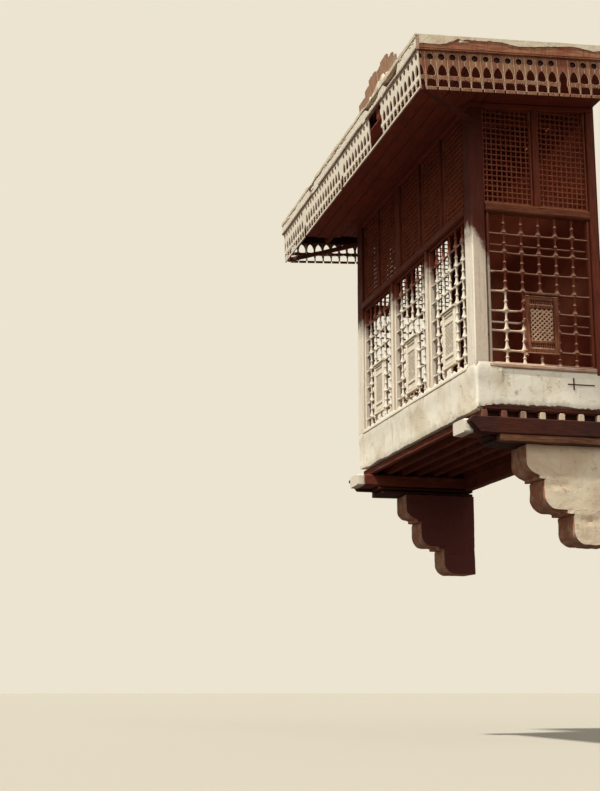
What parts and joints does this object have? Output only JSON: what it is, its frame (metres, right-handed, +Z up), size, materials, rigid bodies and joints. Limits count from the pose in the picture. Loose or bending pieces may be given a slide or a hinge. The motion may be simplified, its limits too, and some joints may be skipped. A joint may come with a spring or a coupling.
{
  "type": "oriel window with turned lattice",
  "caption": "Projecting lattice window box on stepped stone brackets, with hatches, a plastered parapet and a wide canopy edged with hanging fretwork boards.",
  "frame": {"origin": "centre of the wall beam's back face, which lies against the wall at the height of the room's floor", "axes": "+Y into the wall, so the front faces -Y; +X along the front, to the right as the back sees the wall; +Z up"},
  "size_m": [5.52, 2.2136, 5.0782],
  "materials": {
    "lattice_wood": "bare, weathered, greyed by sun",
    "canopy_wood": "bare, sun-bleached and mottled",
    "beam_wood": "rough-sawn, streaked by rain",
    "shaded_wood": "bare, dark with age",
    "lime_plaster": "limewashed, patchy and worn",
    "bracket_stone": "dressed, pitted by weather"
  },
  "bodies": {
    "root": {"wall_beam": "shaded_wood", "head_beam": "shaded_wood", "left_bracket": "bracket_stone", "right_bracket": "bracket_stone", "bearing_planks": "beam_wood", "bracket_beams": "beam_wood", "left_side_beam": "beam_wood", "right_side_beam": "beam_wood", "floor_joists": "shaded_wood", "floor_boards": "shaded_wood", "front_parapet": "lime_plaster", "left_parapet": "lime_plaster", "right_parapet": "lime_plaster", "left_corner_post": "lattice_wood", "right_corner_post": "lattice_wood", "wall_posts": "shaded_wood", "front_mullions": "lattice_wood", "front_sill": "beam_wood", "end_sills": "beam_wood", "front_transom": "beam_wood", "end_transoms": "beam_wood", "front_left_lattice": "lattice_wood", "front_middle_lattice": "lattice_wood", "front_right_lattice": "lattice_wood", "left_end_lattice": "lattice_wood", "right_end_lattice": "lattice_wood", "front_left_hatch": "lattice_wood", "front_middle_hatch": "lattice_wood", "front_right_hatch": "lattice_wood", "left_end_hatch": "lattice_wood", "right_end_hatch": "lattice_wood", "upper_mullions": "shaded_wood", "front_left_upper_lattice": "shaded_wood", "front_right_upper_lattice": "shaded_wood", "left_upper_lattice": "shaded_wood", "right_upper_lattice": "shaded_wood", "front_top_plate": "shaded_wood", "end_top_plates": "shaded_wood", "front_soffit": "shaded_wood", "end_soffits": "shaded_wood", "deck_beams": "shaded_wood", "end_outriggers": "shaded_wood", "roof_boards": "beam_wood", "front_fascia": "canopy_wood", "end_fascias": "canopy_wood", "front_valance": "canopy_wood", "left_valance": "canopy_wood", "right_valance": "canopy_wood", "corner_struts": "shaded_wood", "roof_stubs": "beam_wood"}
  },
  "joints": []
}
